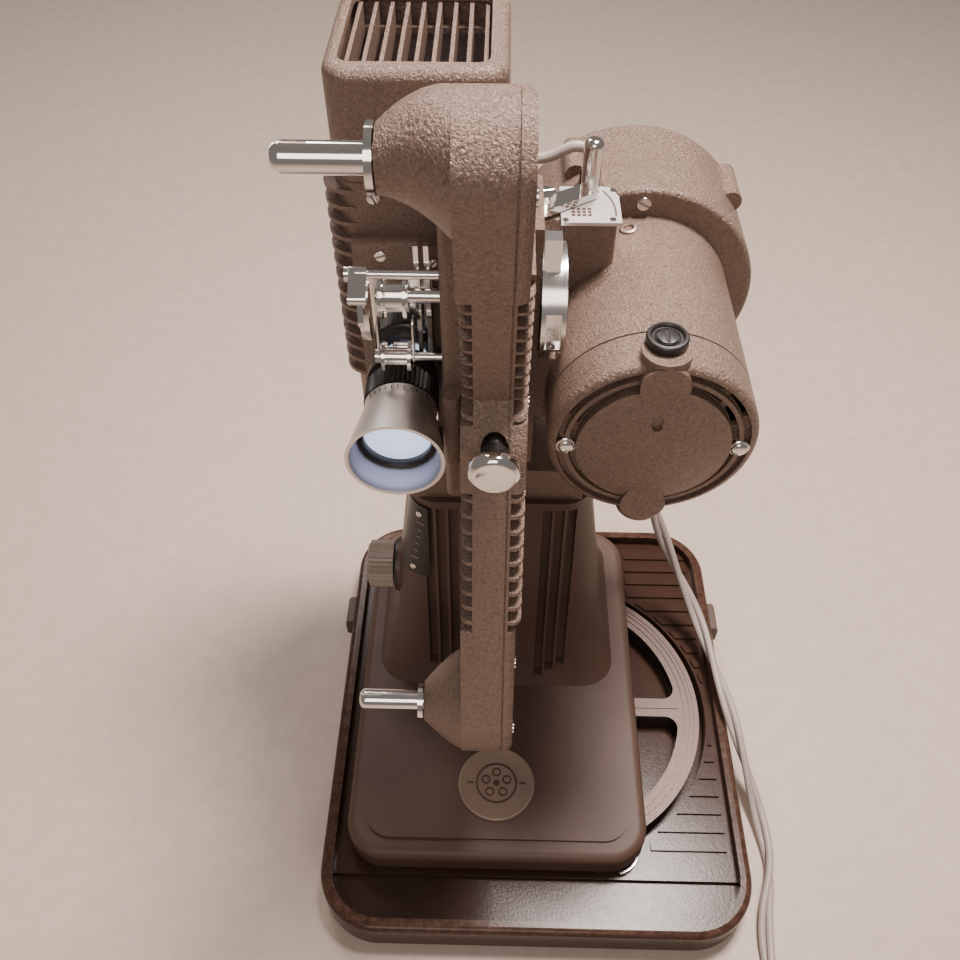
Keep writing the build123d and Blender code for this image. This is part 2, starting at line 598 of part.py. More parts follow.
def inching_knob():
    knob = rod_y(7.9, -46, -41, MAIN_X, MAIN_Z)
    knob = fillet(knob.edges().group_by(Axis.Y)[0], 2)
    knob += rod_y(4.0, -41, -34.2, MAIN_X, MAIN_Z)
    return knob - rod_y(MAIN_R, -44, 0, MAIN_X, MAIN_Z)


def shutter():
    blade = Circle(21.8)
    for turn in (0, 180):
        blade -= Rot(0, 0, turn) * (Circle(30) - Circle(9)) & (Rot(0, 0, turn) * make_face(
            Polyline((0, 0), (40, -22), (40, 22), close=True)))
    disc = Pos(-44, 0, 206) * slab_y(blade, 36.2, 37.0)
    return disc + rod_y(1.5, 35.6, 39.6, -44, 206)


# ---- lamphouse ----
def lamphouse_body():
    shell = slab_z(rounded(LAMP_X0, LAMP_X1, LAMP_Y0, LAMP_Y1, LAMP_R), LAMP_Z0, LAMP_SEAM)
    corner = block(LAMP_X0 - 6, -66, LAMP_Y0 - 6, LAMP_Y1 - 8, 180, 300)
    fin_face = rounded(LAMP_X0 - 4, LAMP_X1, LAMP_Y0, LAMP_Y1 - 8, 9)
    for i in range(FIN_COUNT):
        z = 207.5 + FIN_PITCH * i
        shell += slab_z(fin_face, z, z + 1.5) & corner
    inner = rounded(LAMP_X0 + 2.2, LAMP_X1 - 2.2, LAMP_Y0 + 2.2, LAMP_Y1 - 2.2, LAMP_R - 2.2)
    shell -= slab_z(inner, LAMP_Z0 + 3, LAMP_SEAM + 1)
    shell -= rod_y(11, 30, 50, FILM_X, LENS_Z)
    shell -= block(-25, -10, 68, 92, 218, 250)
    return shell


def lamphouse_lid():
    lid = slab_z(rounded(LAMP_X0, LAMP_X1, LAMP_Y0, LAMP_Y1, LAMP_R), LAMP_SEAM + GAP, LAMP_Z1)
    lid = fillet(lid.edges().group_by(Axis.Z)[-1], 4)
    inner = rounded(LAMP_X0 + 3, LAMP_X1 - 3, LAMP_Y0 + 3, LAMP_Y1 - 3, LAMP_R - 3)
    lid -= slab_z(inner, LAMP_SEAM, LAMP_Z1 - 3)
    lid -= slab_z(rounded(LAMP_X0 + 5, LAMP_X1 - 6, LAMP_Y0 + 6, LAMP_Y1 - 5, 4), 300, 340)
    lip = rounded(LAMP_X0 + 2.6, LAMP_X1 - 2.6, LAMP_Y0 + 2.6, LAMP_Y1 - 2.6, LAMP_R - 2.6)
    lip_in = rounded(LAMP_X0 + 4, LAMP_X1 - 4, LAMP_Y0 + 4, LAMP_Y1 - 4, LAMP_R - 4)
    return lid + slab_z(lip - lip_in, LAMP_SEAM - 5, LAMP_SEAM + 3)


def lid_grille():
    """Nine upright slats with a cross bar at each end."""
    y0, y1 = LAMP_Y0 + 3, LAMP_Y1 - 3
    bars = block(LAMP_X0 + 9, LAMP_X1 - 9, y0, y0 + 3, 314, 317)
    bars += block(LAMP_X0 + 9, LAMP_X1 - 9, y1 - 3, y1, 314, 317)
    bars += block(LAMP_X0 + 6.4, LAMP_X1 - 7, y0 + 2, y0 + 4, 315, 317)
    bars += block(LAMP_X0 + 6.4, LAMP_X1 - 7, y1 - 4, y1 - 2, 315, 317)
    for i in range(9):
        x = LAMP_X0 + 6.4 + 5.35 * i
        bars += block(x, x + 1.3, y0 + 2, y1 - 2, 315, 324.6)
    return bars


def lamp_bulb():
    bulb = rod_z(14.5, 206, 268, FILM_X, 74)
    bulb = fillet(bulb.edges().group_by(Axis.Z)[-1], 12)
    return [bulb + rod_z(10, 200, 206, FILM_X, 74), rod_z(12, 190, 200, FILM_X, 74)]


def lamp_socket():
    return rod_z(15.5, LAMP_Z0 + 3, 204, FILM_X, 74) - rod_z(12, 190, 210, FILM_X, 74)


def reflector():
    dish = (Pos(FILM_X, 70, LENS_Z) * (Sphere(26) - Sphere(25))) & block(-74, -38, 89.5, 97, 202, 236)
    return dish + rod_y(3, 95.6, LAMP_Y1 - 2.2, FILM_X, LENS_Z)


def condenser():
    glass = rod_y(11, 41, 47, FILM_X, LENS_Z)
    return fillet(glass.edges().group_by(Axis.Y)[-1], 2)


# ---- motor and blower ----
def drive_tunnel():
    face = hull((MAIN_X, MAIN_Z), 13, (MOTOR_X, MOTOR_Z), 10)
    return slab_y(face, DRIVE_Y - 2.7, DRIVE_Y + 2.7)


def motor_can():
    can = rod_y(MOTOR_R, CAP_Y1, CAN_Y1, MOTOR_X, MOTOR_Z)
    can -= rod_y(MOTOR_R - 2, CAP_Y1 - 1, CAN_Y1 - 3, MOTOR_X, MOTOR_Z)
    can -= rod_y(7, 30, 80, MOTOR_X, MOTOR_Z)
    foot = block(HOUSE_X1 + 1.5, 3, 4, 36, 222, 249) - rod_y(MOTOR_R - 1, -30, 80, MOTOR_X, MOTOR_Z)
    return can + foot - drive_tunnel()


def arc_slot(r0, r1, a0, a1):
    """Curved slot between two radii and two angles in degrees."""
    ring = Circle(r1) - Circle(r0)
    points = [(0, 0)]
    for k in range(5):
        a = math.radians(a0 + (a1 - a0) * k / 4)
        points.append((60 * math.cos(a), 60 * math.sin(a)))
    return ring & make_face(Polyline(*points, close=True))


def motor_front_cap():
    cap = rod_y(MOTOR_R, CAP_Y0, CAP_Y1, MOTOR_X, MOTOR_Z)
    cap = fillet(cap.edges().group_by(Axis.Y)[0], 3)
    centre = Pos(MOTOR_X, MOTOR_Z)
    for r0, r1 in ((24.9, 27.3), (28.8, 31.2)):
        cap -= slab_y(centre * (Circle(r1) - Circle(r0)), CAP_Y0 - 1, CAP_Y0 + 2.4)
    dome = Pos(MOTOR_X, 64, MOTOR_Z) * Sphere(91) & rod_y(24.9, CAP_Y0 - 6, CAP_Y0 + 2, MOTOR_X, MOTOR_Z)
    cap += dome
    for z, tip in ((MOTOR_Z + 27, MOTOR_Z + MOTOR_R + 2), (MOTOR_Z - 27, MOTOR_Z - MOTOR_R - 2)):
        cap += rod_z(7.7, min(z, tip), max(z, tip), MOTOR_X, -17)
        cap += slab_y(Pos(MOTOR_X, 0) * hull((0, z), 7.7, (0, (z + MOTOR_Z) / 2), 3), -24.7, -18)
    cap -= rod_y(MOTOR_R - 3, CAP_Y0 + 4.5, 0, MOTOR_X, MOTOR_Z)
    for r0, r1, spans in ((25.2, 27.0, ((16, 36), (42, 70))), (29.1, 30.9, ((22, 44), (50, 72)))):
        for a0, a1 in spans:
            cap -= slab_y(centre * arc_slot(r0, r1, a0, a1), -40, 0)
            cap -= slab_y(centre * arc_slot(r0, r1, 180 - a1, 180 - a0), -40, 0)
    for side in (-1, 1):
        cap -= rod_y(3, CAP_Y0 - 2, CAP_Y0 + 2.4, MOTOR_X + side * 28, MOTOR_Z - 1)
    cap -= slab_y(Pos(28.3, 249.5) * (Rot(0, 0, 90) * SlotOverall(6, 3.4)), -40, -25.2)
    cap -= rod_y(MOTOR_R + 1, CAP_Y1 - 0.7, CAP_Y1 + 1, MOTOR_X, MOTOR_Z) - rod_y(MOTOR_R - 0.6, -40, 40, MOTOR_X, MOTOR_Z)
    for z0, z1 in ((240, 280), (190, 232)):
        cap -= rod_z(4.2, z0, z1, MOTOR_X, -14) & block(-10, 70, -30, 0, 190, 282)
    cap += rod_y(8, CAP_Y0 + 3, CAP_Y0 + 6.5, MOTOR_X, MOTOR_Z)
    return cap - rod_y(5, CAP_Y0 + 2, 0, MOTOR_X, MOTOR_Z)


def brush_caps():
    caps = []
    for z0, z1 in ((MOTOR_Z + MOTOR_R + 2, MOTOR_Z + MOTOR_R + 5), (MOTOR_Z - MOTOR_R - 5, MOTOR_Z - MOTOR_R - 2)):
        cap = rod_z(6.5, z0, z1, MOTOR_X, -14)
        slot_z = z1 if z0 > MOTOR_Z else z0
        caps.append(cap - block(MOTOR_X - 8, MOTOR_X + 8, -14.7, -13.3, slot_z - 1, slot_z + 1))
    return caps


def motor_field():
    ring = rod_y(MOTOR_R - 2, -2, 20, MOTOR_X, MOTOR_Z) - rod_y(20.5, -5, 25, MOTOR_X, MOTOR_Z)
    return ring


def armature():
    core = rod_y(20, -1, 19, MOTOR_X, MOTOR_Z)
    for i in range(12):
        a = 2 * math.pi * i / 12
        core -= rod_y(1.3, -2, 20, MOTOR_X + 19 * math.cos(a), MOTOR_Z + 19 * math.sin(a))
    core += rod_y(8, -14, -4, MOTOR_X, MOTOR_Z)
    core += rod_y(6, -4, -1, MOTOR_X, MOTOR_Z)
    return core - rod_y(3, -60, 60, MOTOR_X, MOTOR_Z)


def motor_shaft():
    shaft = rod_y(3, CAP_Y0 + 2.6, 98, MOTOR_X, MOTOR_Z)
    return shaft + pulley_y(6, DRIVE_Y, MOTOR_X, MOTOR_Z, 1)


def blower_fan():
    fan = rod_y(36, 62, 63.4, MOTOR_X, MOTOR_Z) + rod_y(9, 62, 94, MOTOR_X, MOTOR_Z)
    for i in range(16):
        blade = Pos(MOTOR_X, 0, MOTOR_Z) * Rot(0, 360 / 16 * i, 0) * Pos(30, 78, 0) * Rot(0, 25, 0)
        fan += blade * Box(13, 30, 1.1)
    return fan - rod_y(3, 40, 120, MOTOR_X, MOTOR_Z)


def blower_housing():
    drum = rod_y(BLOWER_R, CAN_Y1, BLOWER_Y1, MOTOR_X, MOTOR_Z)
    drum = fillet(drum.edges().group_by(Axis.Y)[-1], 4)
    drum = fillet(drum.edges().group_by(Axis.Y)[0], 2)
    drum -= rod_y(BLOWER_R - 2.4, CAN_Y1 + 2.4, BLOWER_Y1 - 2.4, MOTOR_X, MOTOR_Z)
    drum -= rod_y(10, 50, CAN_Y1 + 5, MOTOR_X, MOTOR_Z)
    for r0, r1 in ((10, 14), (18, 22), (26, 30)):
        for a0 in (10, 100, 190, 280):
            drum -= slab_y(Pos(MOTOR_X, MOTOR_Z) * arc_slot(r0, r1, a0, a0 + 70), 98, 108)
    for angle in (38, 122, 270):
        a = math.radians(angle)
        x, z = MOTOR_X + BLOWER_R * math.cos(a), MOTOR_Z + BLOWER_R * math.sin(a)
        ear = rod_y(4, 76, 96, x, z) - rod_y(BLOWER_R - 2.4, 40, 120, MOTOR_X, MOTOR_Z)
        drum += ear
    snout = block(LAMP_X1, 6, 66, 94, 216, 252) - rod_y(BLOWER_R - 2.4, 40, 120, MOTOR_X, MOTOR_Z)
    return drum + snout - block(-20, 10, 68, 92, 218, 250)


# ---- controls on top of the motor ----
def switch_block():
    box = block(-0.8, 16.6, 30.5, 46, 255, 283.6)
    box = fillet(box.edges().filter_by(Axis.Z), 2)
    box += rod_z(3.8, 274, 283.6, PIVOT_X, PIVOT_Y) + block(PIVOT_X, 4, PIVOT_Y - 3, PIVOT_Y + 3, 276, 283.6)
    return box - rod_y(MOTOR_R, -30, 80, MOTOR_X, MOTOR_Z)


def switch_plate():
    """Quadrant plate under the lever, centred on the lever's pivot."""
    sector = Pos(PIVOT_X, PIVOT_Y) * Circle(26.5) & Pos(7.9, 39.3) * Rectangle(19.5, 21)
    plate = slab_z(sector, 283.6, 284.8)
    screw = rod_z(1.9, 283.6, 289.4, PIVOT_X, PIVOT_Y) + rod_z(3.6, 289.4, 291, PIVOT_X, PIVOT_Y)
    return [plate, screw]


def switch_lever():
    tip = (8, 44.6)
    arm = slab_z(hull((PIVOT_X, PIVOT_Y), 3.7, tip, 3.2), LEVER_Z - 1.9, LEVER_Z + 0.6)
    pin = rod_z(3.2, LEVER_Z - 1.9, LEVER_Z + 18, *tip)
    pin = fillet(pin.edges().group_by(Axis.Z)[-1], 2.4)
    collar = rod_z(3.4, LEVER_Z + 0.6, 289.1, PIVOT_X, PIVOT_Y)
    return arm + pin + collar - rod_z(1.9 + FIT, 270, 300, PIVOT_X, PIVOT_Y)


def clutch_lever():
    x0, x1 = HOUSE_X1 + 1.8, -0.6
    drum = rod_x(CLUTCH_R, x0, x1, CLUTCH_Y, CLUTCH_Z)
    drum -= rod_x(CLUTCH_R - 2, x1 - 1, x1 + 1, CLUTCH_Y, CLUTCH_Z)
    drum -= block(x0 + 1.4, x1 - 1.4, -8, CLUTCH_Y - 13, 259, 274)
    drum -= block(-3.4, 2, -10, 35, 245, 257.5)
    drum += rod_x(4, x0, x1 + 0.4, CLUTCH_Y, CLUTCH_Z)
    drum += rod_x(3.1 - FIT, -16, x0, CLUTCH_Y, CLUTCH_Z)
    tab = block(-8.0, -2.8, 4, 9, CLUTCH_Z + 14, CLUTCH_Z + 27)
    return [drum, tab - rod_x(CLUTCH_R, -20, 5, CLUTCH_Y, CLUTCH_Z)]


# ---- wiring ----
def tube(points, radii, radius):
    path = FilletPolyline(*points, radius=radii)
    start = Plane(origin=path @ 0, z_dir=path % 0)
    return sweep(start * Circle(radius), path=path)


def bend_radii(points):
    """Largest arc at each corner that both of its runs allow."""
    radii = []
    for a, b, c in zip(points, points[1:], points[2:]):
        u, v = Vector(*b) - Vector(*a), Vector(*c) - Vector(*b)
        turn = math.radians(u.get_angle(v))
        radii.append(0.45 * min(u.length, v.length) / math.tan(turn / 2))
    return radii


LEAD = [(LAMP_X1, 70, 283), (-6, 70, 283), (4, 70, 288.5), (10, 70, 287), (10, 70, 279)]
CORD = [(48, 82, 170), (48, 82, 134), (55, 77, 98), (70, 68, 60), (86, 50, 34), (93, 24, 27), (98, -6, 27),
        (104, -30, 17), (110, -50, 4), (112, -76, 3.7), (104, -100, 3.7), (103, -126, 3.7), (105, -150, 3.7),
        (105, -176, 3.7)]
COIL_X, COIL_Y, COIL_R, COIL_HALF, COIL_H = 60, -176, 40, 12, 14.2      # coil's middle, radius, size


def lamp_lead():
    return tube(LEAD, bend_radii(LEAD), 1.9)


def cord_glands():
    """Tapered rubber strain relief under the blower drum, and the lead's small bush."""
    relief = Pos(48, 82, 190) * Cone(4.2, 6.6, 40)
    bush = rod_z(3.4, 270, 279, 10, 70)
    drum = rod_y(BLOWER_R, 40, 120, MOTOR_X, MOTOR_Z)
    return [relief - drum, bush - drum]


def cord_run():
    """Mains cord from the strain relief to its coil, and the short tail that leads to the plug."""
    tail_y = COIL_Y - COIL_R - 5
    tail = rod_x(CORD_R, COIL_X - 22, COIL_X, tail_y, 3.7)
    return [tube(CORD, bend_radii(CORD), CORD_R), tail]


def cord_coil():
    """Outer shape of the coiled length, stepped where the cord enters and leaves it."""
    ring = rod_z(COIL_R + COIL_HALF, 0.2, COIL_H, COIL_X, COIL_Y)
    ring -= rod_z(COIL_R - COIL_HALF, -1, 20, COIL_X, COIL_Y)
    ring -= block(COIL_X + 30, COIL_X + 70, COIL_Y, COIL_Y + 60, -1, 20)
    return ring - block(COIL_X - 70, COIL_X, COIL_Y - 60, COIL_Y - 32, -1, 20)


def plug():
    """Two-blade mains plug at the end of the tail."""
    x1, y = COIL_X - 22, COIL_Y - COIL_R - 5
    body = block(x1 - 26, x1 - 8, y - 12, y + 12, 0.2, 17)
    body = fillet(body.edges().filter_by(Axis.Z), 5)
    body += slab_x(Pos(y, 4.7) * Circle(4.5), x1 - 9, x1)
    blades = []
    for side in (-1, 1):
        blades.append(block(x1 - 44, x1 - 26, y + side * 6.3 - 0.8, y + side * 6.3 + 0.8, 5.5, 11.8))
    return [body] + blades


# ---- write every piece ----
PIECES = [
    case_tray, tray_feet, case_catches, storage_reel, base_housing, base_seats, badge, speed_plate,
    knob_escutcheon, speed_rheostat, speed_knob, arm_casting, arm_cover, cover_screws, bearings,
    upper_spindle, lower_spindle, drive_belts, mechanism_housing, gear_cover, film_gate_casting,
    aperture_plate, film_guides, pressure_plate, lens_holder, focus_sleeve, lens_barrel, lens_hood,
    lens_glass, sprocket_shaft, take_up_shaft, guide_roller, film_keeper, main_shaft, inching_knob,
    shutter, lamphouse_body, lamphouse_lid, lid_grille, lamp_bulb, lamp_socket, reflector,
    condenser, motor_can, motor_front_cap, brush_caps, motor_field, armature, motor_shaft, blower_fan,
    blower_housing, switch_block, switch_plate, switch_lever, clutch_lever, lamp_lead, cord_glands,
    cord_run, cord_coil, plug,
]


def write(name, shape):
    """One STEP file per piece; a list is a group of separate solids."""
    if isinstance(shape, (list, tuple)):
        shape = Compound(children=list(shape))
    export_step(shape, f"parts/{name}.step")


for piece in PIECES:
    write(piece.__name__, piece())
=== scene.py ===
import bmesh
import bpy
import json
import math
from mathutils import Matrix, Vector
from mathutils.bvhtree import BVHTree


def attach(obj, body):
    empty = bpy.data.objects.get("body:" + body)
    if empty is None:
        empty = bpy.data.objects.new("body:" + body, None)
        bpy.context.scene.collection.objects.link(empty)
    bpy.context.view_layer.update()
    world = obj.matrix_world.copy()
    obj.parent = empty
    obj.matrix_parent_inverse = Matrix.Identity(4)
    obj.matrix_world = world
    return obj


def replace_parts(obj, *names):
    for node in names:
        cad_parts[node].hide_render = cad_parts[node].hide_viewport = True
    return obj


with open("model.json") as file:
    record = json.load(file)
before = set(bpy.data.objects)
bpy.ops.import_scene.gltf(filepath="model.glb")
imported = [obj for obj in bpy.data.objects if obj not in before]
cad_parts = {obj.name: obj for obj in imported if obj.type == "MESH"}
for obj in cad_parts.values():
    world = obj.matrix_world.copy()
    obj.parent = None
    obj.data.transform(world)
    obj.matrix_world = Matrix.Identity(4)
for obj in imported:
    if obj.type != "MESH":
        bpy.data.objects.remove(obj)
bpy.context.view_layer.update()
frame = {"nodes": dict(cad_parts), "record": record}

MM = 0.001
ROOT = "projector_frame"

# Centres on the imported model, in millimetres.
LENS_X, LENS_Z = -56, 218.8
MOTOR_X, MOTOR_Z = 29, 236
MAIN_X, MAIN_Z = -22, 245
CLUTCH_Y, CLUTCH_Z = 12, 268
PIVOT_X, PIVOT_Y = -7.3, 35
PLATE_TOP = 284.75
BADGE_AT = (-18.4, -49.3, 31.2)


# ---------------------------------------------------------------- camera, light and floor
def look(location, rotation, lens):
    camera = bpy.data.cameras.new("camera")
    camera.lens = lens
    camera.sensor_width = 36
    camera.clip_start = 0.01
    holder = bpy.data.objects.new("camera", camera)
    bpy.context.scene.collection.objects.link(holder)
    holder.location = location
    holder.rotation_euler = rotation
    bpy.context.scene.camera = holder


def area_light(name, location, target, size, power, colour):
    light = bpy.data.lights.new(name, "AREA")
    light.energy = power
    light.size = size
    light.color = colour
    holder = bpy.data.objects.new(name, light)
    bpy.context.scene.collection.objects.link(holder)
    holder.location = location
    aim = Vector(target) - Vector(location)
    holder.rotation_euler = aim.to_track_quat("-Z", "Y").to_euler()


look((-0.022, -0.2296, 0.456), (math.radians(41.0), 0, math.radians(1.3)), 35.03)
area_light("overhead", (0.15, 0.17, 0.88), (0, 0, 0.2), 0.20, 13, (1.0, 0.87, 0.81))
area_light("rear", (-0.40, 0.85, 1.00), (0, 0, 0.2), 0.34, 5, (1.0, 0.88, 0.82))
area_light("front", (-0.12, -0.92, 1.02), (0, 0, 0.15), 0.62, 4.8, (1.0, 0.86, 0.79))

world = bpy.data.worlds.new("studio")
world.use_nodes = True
world.node_tree.nodes["Background"].inputs[0].default_value = (0.80, 0.72, 0.67, 1)
world.node_tree.nodes["Background"].inputs[1].default_value = 0.26
bpy.context.scene.world = world


# ---------------------------------------------------------------- material helpers
class Shade:
    """A node material built step by step around one Principled shader."""

    def __init__(self, name, colour, roughness, metallic=0.0):
        self.material = bpy.data.materials.new(name)
        self.material.use_nodes = True
        self.tree = self.material.node_tree
        self.shader = self.tree.nodes["Principled BSDF"]
        self.shader.inputs["Base Color"].default_value = (*colour, 1)
        self.shader.inputs["Roughness"].default_value = roughness
        self.shader.inputs["Metallic"].default_value = metallic
        self.coords = self.tree.nodes.new("ShaderNodeTexCoord").outputs["Object"]

    def node(self, kind, **inputs):
        made = self.tree.nodes.new(kind)
        for key, value in inputs.items():
            made.inputs[key.replace("_", " ")].default_value = value
        return made

    def link(self, source, target):
        self.tree.links.new(source, target)

    def stretched(self, x, y, z):
        """Object coordinates scaled by a factor on each axis."""
        mapping = self.node("ShaderNodeMapping")
        mapping.inputs["Scale"].default_value = (x, y, z)
        self.link(self.coords, mapping.inputs["Vector"])
        return mapping.outputs["Vector"]

    def noise(self, scale, detail=3.0, rough=0.5, distort=0.0, vector=None):
        made = self.node("ShaderNodeTexNoise", Scale=scale, Detail=detail, Roughness=rough, Distortion=distort)
        self.link(vector or self.coords, made.inputs["Vector"])
        return made.outputs["Fac"]

    def cells(self, scale, smooth):
        made = self.node("ShaderNodeTexVoronoi", Scale=scale)
        made.feature = "SMOOTH_F1"
        made.inputs["Smoothness"].default_value = smooth
        self.link(self.coords, made.inputs["Vector"])
        return made.outputs["Distance"]

    def ramp(self, source, stops):
        made = self.tree.nodes.new("ShaderNodeValToRGB")
        made.color_ramp.elements.remove(made.color_ramp.elements[1])
        for i, (position, colour) in enumerate(stops):
            element = made.color_ramp.elements[0] if i == 0 else made.color_ramp.elements.new(position)
            element.position = position
            element.color = (*colour, 1)
        self.link(source, made.inputs["Fac"])
        return made.outputs["Color"]

    def mix(self, factor, first, second):
        made = self.tree.nodes.new("ShaderNodeMix")
        made.data_type = "RGBA"
        self.link(factor, made.inputs["Factor"])
        for socket, value in (("A", first), ("B", second)):
            slot = [s for s in made.inputs if s.name == socket and s.type == "RGBA"][0]
            if isinstance(value, tuple):
                slot.default_value = (*value, 1)
            else:
                self.link(value, slot)
        return [s for s in made.outputs if s.type == "RGBA"][0]

    def colour(self, source):
        self.link(source, self.shader.inputs["Base Color"])

    def rough(self, source, low, high):
        made = self.node("ShaderNodeMapRange")
        made.inputs["To Min"].default_value = low
        made.inputs["To Max"].default_value = high
        self.link(source, made.inputs["Value"])
        self.link(made.outputs["Result"], self.shader.inputs["Roughness"])

    def bump(self, source, strength, distance):
        made = self.node("ShaderNodeBump", Strength=strength, Distance=distance)
        if self.shader.inputs["Normal"].is_linked:
            self.link(self.shader.inputs["Normal"].links[0].from_socket, made.inputs["Normal"])
        self.link(source, made.inputs["Height"])
        self.link(made.outputs["Normal"], self.shader.inputs["Normal"])

    def height(self):
        """Height above the table, in metres."""
        split = self.node("ShaderNodeSeparateXYZ")
        self.link(self.coords, split.inputs[0])
        return split.outputs["Z"]

    def step(self, source, low, high):
        made = self.node("ShaderNodeMapRange")
        made.inputs["From Min"].default_value = low
        made.inputs["From Max"].default_value = high
        self.link(source, made.inputs["Value"])
        return made.outputs["Result"]


def crackle(name, dark, light, size=1250.0):
    """Wrinkle enamel: raised rounded islands with creases between them; painted shade darkens the creases and a
    painted highlight lightens the crests.
    """
    s = Shade(name, light, 0.42, 0.35)
    warp = s.noise(size * 0.8, 4.0, 0.6, 0.9)
    islands = s.cells(size, 0.9)
    blotch = s.noise(26.0, 3.0)
    # painted shade and highlight: the dark colour fills the low creases of the wrinkle and 1.18 times the light
    # colour sits on the crests, following the bump's height
    crease_shade_and_crest_light = s.ramp(warp, [(0.30, dark), (0.52, light), (0.72, tuple(c * 1.18 for c in light))])
    aged = s.mix(blotch, tuple(c * 0.86 for c in light), crease_shade_and_crest_light)
    s.colour(s.mix(s.ramp(islands, [(0.0, (0.25, 0.25, 0.25)), (0.6, (1, 1, 1))]), aged, crease_shade_and_crest_light))
    s.rough(warp, 0.26, 0.46)
    s.bump(islands, 0.35, 0.0005)
    s.bump(warp, 0.80, 0.0010)
    s.shader.inputs["Coat Weight"].default_value = 0.08
    s.shader.inputs["Coat Roughness"].default_value = 0.25
    return s.material


def fine_paint(name, dark, light):
    """Fine textured enamel with soft blotches."""
    s = Shade(name, light, 0.46, 0.0)
    grain = s.noise(2600.0, 2.0)
    blotch = s.noise(18.0, 4.0, 0.6)
    s.colour(s.mix(s.ramp(blotch, [(0.35, (0, 0, 0)), (0.7, (1, 1, 1))]), dark, light))
    s.rough(grain, 0.42, 0.58)
    s.bump(grain, 0.25, 0.00025)
    s.bump(s.noise(900.0, 2.0), 0.15, 0.0003)
    return s.material


def tray_paint():
    """Gloss brown-black enamel, rubbed to a lighter brown on the rim."""
    s = Shade("tray_enamel", (0.030, 0.016, 0.010), 0.22, 0.0)
    patches = s.noise(45.0, 5.0, 0.7)
    scuffs = s.noise(260.0, 6.0, 0.75)
    rim = s.step(s.height(), 0.0150, 0.0200)
    worn = s.node("ShaderNodeMath")
    worn.operation = "MULTIPLY"
    s.link(rim, worn.inputs[0])
    s.link(s.ramp(scuffs, [(0.42, (0.10, 0.10, 0.10)), (0.60, (1, 1, 1))]), worn.inputs[1])
    body = s.mix(patches, (0.036, 0.018, 0.012), (0.056, 0.029, 0.020))
    s.colour(s.mix(worn.outputs[0], body, (0.098, 0.052, 0.036)))
    s.rough(scuffs, 0.14, 0.28)
    s.shader.inputs["Specular IOR Level"].default_value = 0.22
    s.bump(s.noise(700.0, 3.0), 0.10, 0.0003)
    return s.material


def metal(name, colour, low, high, stretch, scale, bump=0.06):
    """Bare or plated metal with fine directional marks."""
    s = Shade(name, colour, low, 1.0)
    marks = s.noise(scale, 4.0, 0.6, 0.0, s.stretched(*stretch))
    clouds = s.noise(60.0, 3.0)
    s.colour(s.mix(clouds, tuple(c * 0.90 for c in colour), colour))
    s.rough(marks, low, high)
    s.bump(marks, bump, 0.0002)
    return s.material


def moulded(name, colour, low, high, scale=1800.0, bump=0.12):
    """Plain moulded or lacquered surface with a fine grain and a little dust."""
    s = Shade(name, colour, low, 0.0)
    grain = s.noise(scale, 2.0)
    dust = s.noise(90.0, 5.0, 0.7)
    s.colour(s.mix(dust, tuple(c * 0.80 for c in colour), tuple(min(1, c * 1.15) for c in colour)))
    s.rough(grain, low, high)
    s.bump(grain, bump, 0.0002)
    return s.material


def clear_glass(name, tint, painted_glow, coat=(0.84, 0.88, 1.0)):
    """Coated glass with a faint painted glow that stands in for the light it catches inside the lens."""
    s = Shade(name, tint, 0.03, 0.0)
    s.shader.inputs["Transmission Weight"].default_value = 0.45
    s.shader.inputs["IOR"].default_value = 1.52
    s.shader.inputs["Coat Weight"].default_value = 0.8
    s.shader.inputs["Coat Tint"].default_value = (*coat, 1)
    # painted glow: this bluish-white emission stands in for reflected light, the glass gives no light of its own
    s.shader.inputs["Emission Color"].default_value = (0.93, 0.96, 1.0, 1)
    s.shader.inputs["Emission Strength"].default_value = painted_glow
    haze = s.noise(300.0, 2.0)
    s.colour(s.mix(haze, tint, tuple(c * 0.94 for c in tint)))
    s.rough(haze, 0.02, 0.06)
    return s.material


MATERIALS = {
    "crackle_bronze": crackle("crackle_enamel", (0.140, 0.094, 0.072), (0.250, 0.176, 0.138)),
    "base_brown": fine_paint("base_enamel", (0.078, 0.043, 0.031), (0.118, 0.070, 0.052)),
    "tray_brown": tray_paint(),
    "chrome": metal("chrome_plate", (0.86, 0.83, 0.80), 0.06, 0.16, (1, 1, 1), 400.0, 0.03),
    "steel": metal("ground_steel", (0.52, 0.49, 0.46), 0.25, 0.42, (1, 1, 8), 900.0),
    "satin_aluminium": metal("satin_aluminium", (0.88, 0.85, 0.82), 0.36, 0.50, (1, 14, 1), 420.0, 0.15),
    "champagne": metal("champagne_badge", (0.46, 0.37, 0.31), 0.38, 0.52, (1, 9, 1), 500.0),
    "reel_grey": metal("reel_enamel", (0.13, 0.100, 0.090), 0.40, 0.58, (1, 1, 1), 700.0),
    "black_plastic": moulded("black_moulding", (0.018, 0.017, 0.016), 0.28, 0.48),
    "cream_plastic": moulded("cream_moulding", (0.34, 0.27, 0.225), 0.34, 0.50),
    "rubber": moulded("black_rubber", (0.022, 0.021, 0.020), 0.55, 0.80, 1200.0, 0.25),
    "cord_grey": moulded("grey_vinyl", (0.42, 0.36, 0.33), 0.34, 0.50, 1500.0, 0.10),
    "bronze": metal("sintered_bronze", (0.50, 0.34, 0.17), 0.35, 0.55, (1, 1, 1), 1600.0, 0.2),
    "glass": clear_glass("coated_glass", (0.90, 0.94, 1.0), 0.75),
    "mirror": metal("silvered_mirror", (0.92, 0.92, 0.92), 0.02, 0.05, (1, 1, 1), 200.0, 0.01),
}
